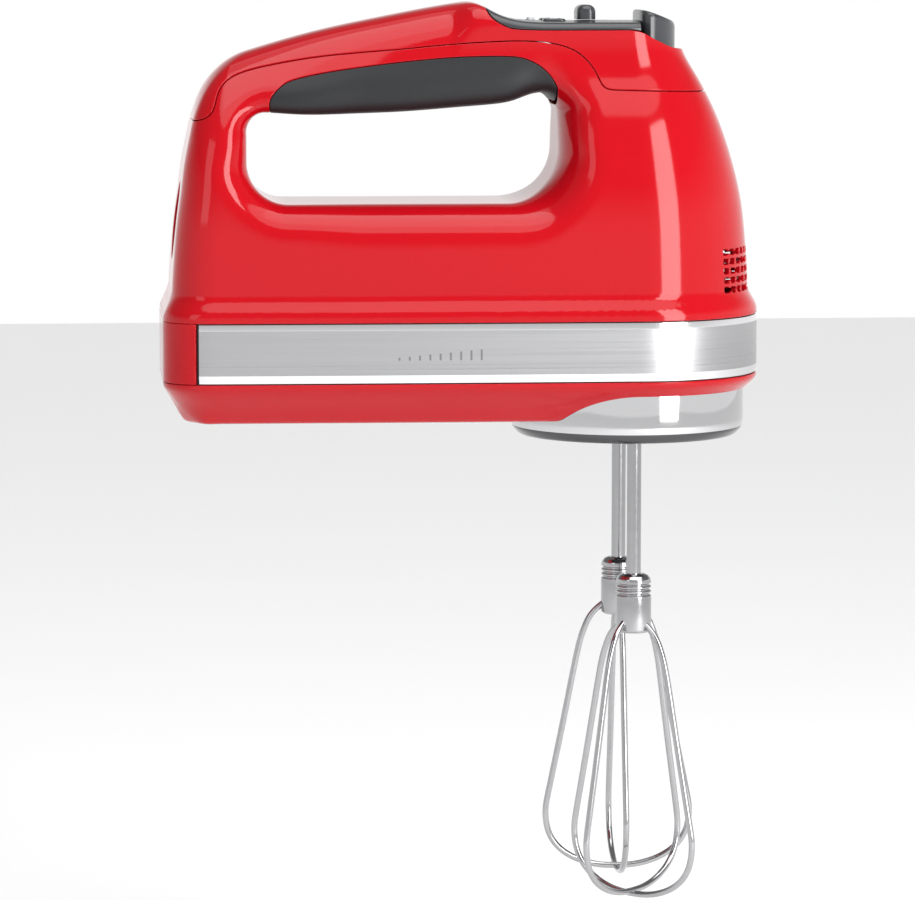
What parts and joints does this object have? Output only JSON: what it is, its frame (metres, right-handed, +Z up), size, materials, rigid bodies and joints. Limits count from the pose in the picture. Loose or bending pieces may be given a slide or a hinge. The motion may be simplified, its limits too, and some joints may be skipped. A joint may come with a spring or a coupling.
{
  "type": "hand mixer",
  "caption": "Hand mixer with an open loop handle, top controls, a metal trim band and interleaved wire beaters driven by a worm gear motor; the beaters spin and eject.",
  "frame": {"origin": "middle of the handle grip, on the mixer's middle plane", "axes": "+X towards the nose, +Y to the user's left, +Z up with the beaters hanging down"},
  "size_m": [0.2027, 0.0922, 0.3024],
  "materials": {
    "red_shell": "high gloss",
    "steel_band": "brushed",
    "chrome_ring": "polished",
    "black_hub": "satin",
    "soft_grip": "soft touch",
    "dark_panel": "satin",
    "display_lens": "gloss",
    "indicator_lens": "gloss",
    "dark_controls": "satin",
    "white_inner": "matt",
    "spring_steel": "plain",
    "gear_nylon": "matt",
    "spindle_steel": "ground",
    "core_steel": "matt",
    "copper": "enamelled",
    "carbon": "matt",
    "bronze": "plain",
    "brass_parts": "plain",
    "board_green": "matt",
    "board_black": "matt",
    "wire_cover": "matt",
    "black_swivel": "satin",
    "screw_steel": "plated",
    "beater_chrome": "polished"
  },
  "bodies": {
    "housing": {"top_cover": "red_shell", "main_housing": "red_shell", "bottom_housing": "red_shell", "grip": "soft_grip", "trim_band": "steel_band", "hub_ring": "chrome_ring", "hub_plate": "black_hub", "control_panel": "dark_panel", "display_window": "display_lens", "indicator_lens": "indicator_lens", "ejector_spring": "spring_steel", "motor_stator": "core_steel", "field_coils": "copper", "motor_bracket": "white_inner", "rear_bearing": "bronze", "middle_bearing": "bronze", "nose_bearing": "bronze", "brush_holders": "brass_parts", "carbon_brushes": "carbon", "gearbox_frame": "white_inner", "spindle_bushes": "bronze", "circuit_board": "board_green", "board_parts": "board_black", "power_contact": "board_black", "supply_lead": "wire_cover", "motor_leads": "wire_cover", "cord_clamp": "white_inner", "housing_screws": "screw_steel", "motor_screws": "screw_steel"},
    "left_drive": {"left_spindle": "spindle_steel", "left_gear": "gear_nylon"},
    "right_drive": {"right_spindle": "spindle_steel", "right_gear": "gear_nylon"},
    "armature": {"armature_shaft": "spindle_steel", "armature_core": "core_steel", "armature_windings": "copper", "commutator": "copper", "cooling_fan": "white_inner"},
    "left_beater": {"left_beater_shaft": "beater_chrome", "left_beater_collar": "beater_chrome", "left_beater_wires": "beater_chrome"},
    "right_beater": {"right_beater_shaft": "beater_chrome", "right_beater_collar": "beater_chrome", "right_beater_wires": "beater_chrome"},
    "ejector": {"ejector_button": "dark_controls", "ejector_rod": "white_inner", "ejector_plate": "white_inner"},
    "power_slide": {"power_switch": "dark_controls"},
    "speed_up": {"speed_up_button": "dark_controls"},
    "speed_down": {"speed_down_button": "dark_controls"},
    "swivel": {"cord_swivel": "black_swivel", "swivel_ring": "black_swivel"}
  },
  "joints": [
    {"name": "left_beater_spin", "type": "hinge", "parent": "housing", "child": "left_drive", "pos_m": [0.078, 0.021, -0.08], "axis": [0, 0, 1], "continuous": true},
    {"name": "right_beater_spin", "type": "hinge", "parent": "housing", "child": "right_drive", "pos_m": [0.078, -0.021, -0.08], "axis": [0, 0, 1], "continuous": true},
    {"name": "armature_spin", "type": "hinge", "parent": "housing", "child": "armature", "pos_m": [0.01, 0, -0.08], "axis": [1, 0, 0], "continuous": true},
    {"name": "left_beater_release", "type": "slide", "parent": "left_drive", "child": "left_beater", "axis": [0, 0, -1], "range_m": [0, 0.055]},
    {"name": "right_beater_release", "type": "slide", "parent": "right_drive", "child": "right_beater", "axis": [0, 0, -1], "range_m": [0, 0.055]},
    {"name": "ejector_press", "type": "slide", "parent": "housing", "child": "ejector", "axis": [0, 0, -1], "range_m": [0, 0.006], "stiffness_N_per_m": 900, "springref_m": -0.002, "deforming": ["ejector_spring"]},
    {"name": "power_switch_slide", "type": "slide", "parent": "housing", "child": "power_slide", "axis": [1, 0, 0], "range_m": [0, 0.005]},
    {"name": "speed_up_press", "type": "slide", "parent": "housing", "child": "speed_up", "axis": [0, 0, -1], "range_m": [0, 0.001], "stiffness_N_per_m": 1500, "springref_m": -0.0005},
    {"name": "speed_down_press", "type": "slide", "parent": "housing", "child": "speed_down", "axis": [0, 0, -1], "range_m": [0, 0.001], "stiffness_N_per_m": 1500, "springref_m": -0.0005},
    {"name": "cord_swivel_turn", "type": "hinge", "parent": "housing", "child": "swivel", "pos_m": [-0.07, 0, -0.051], "axis": [1, 0, 0], "range_deg": [-90, 90]}
  ],
  "couplings": [
    {"joint": "right_beater_spin", "follows": "left_beater_spin", "ratio": -1},
    {"joint": "armature_spin", "follows": "left_beater_spin", "ratio": -13}
  ]
}
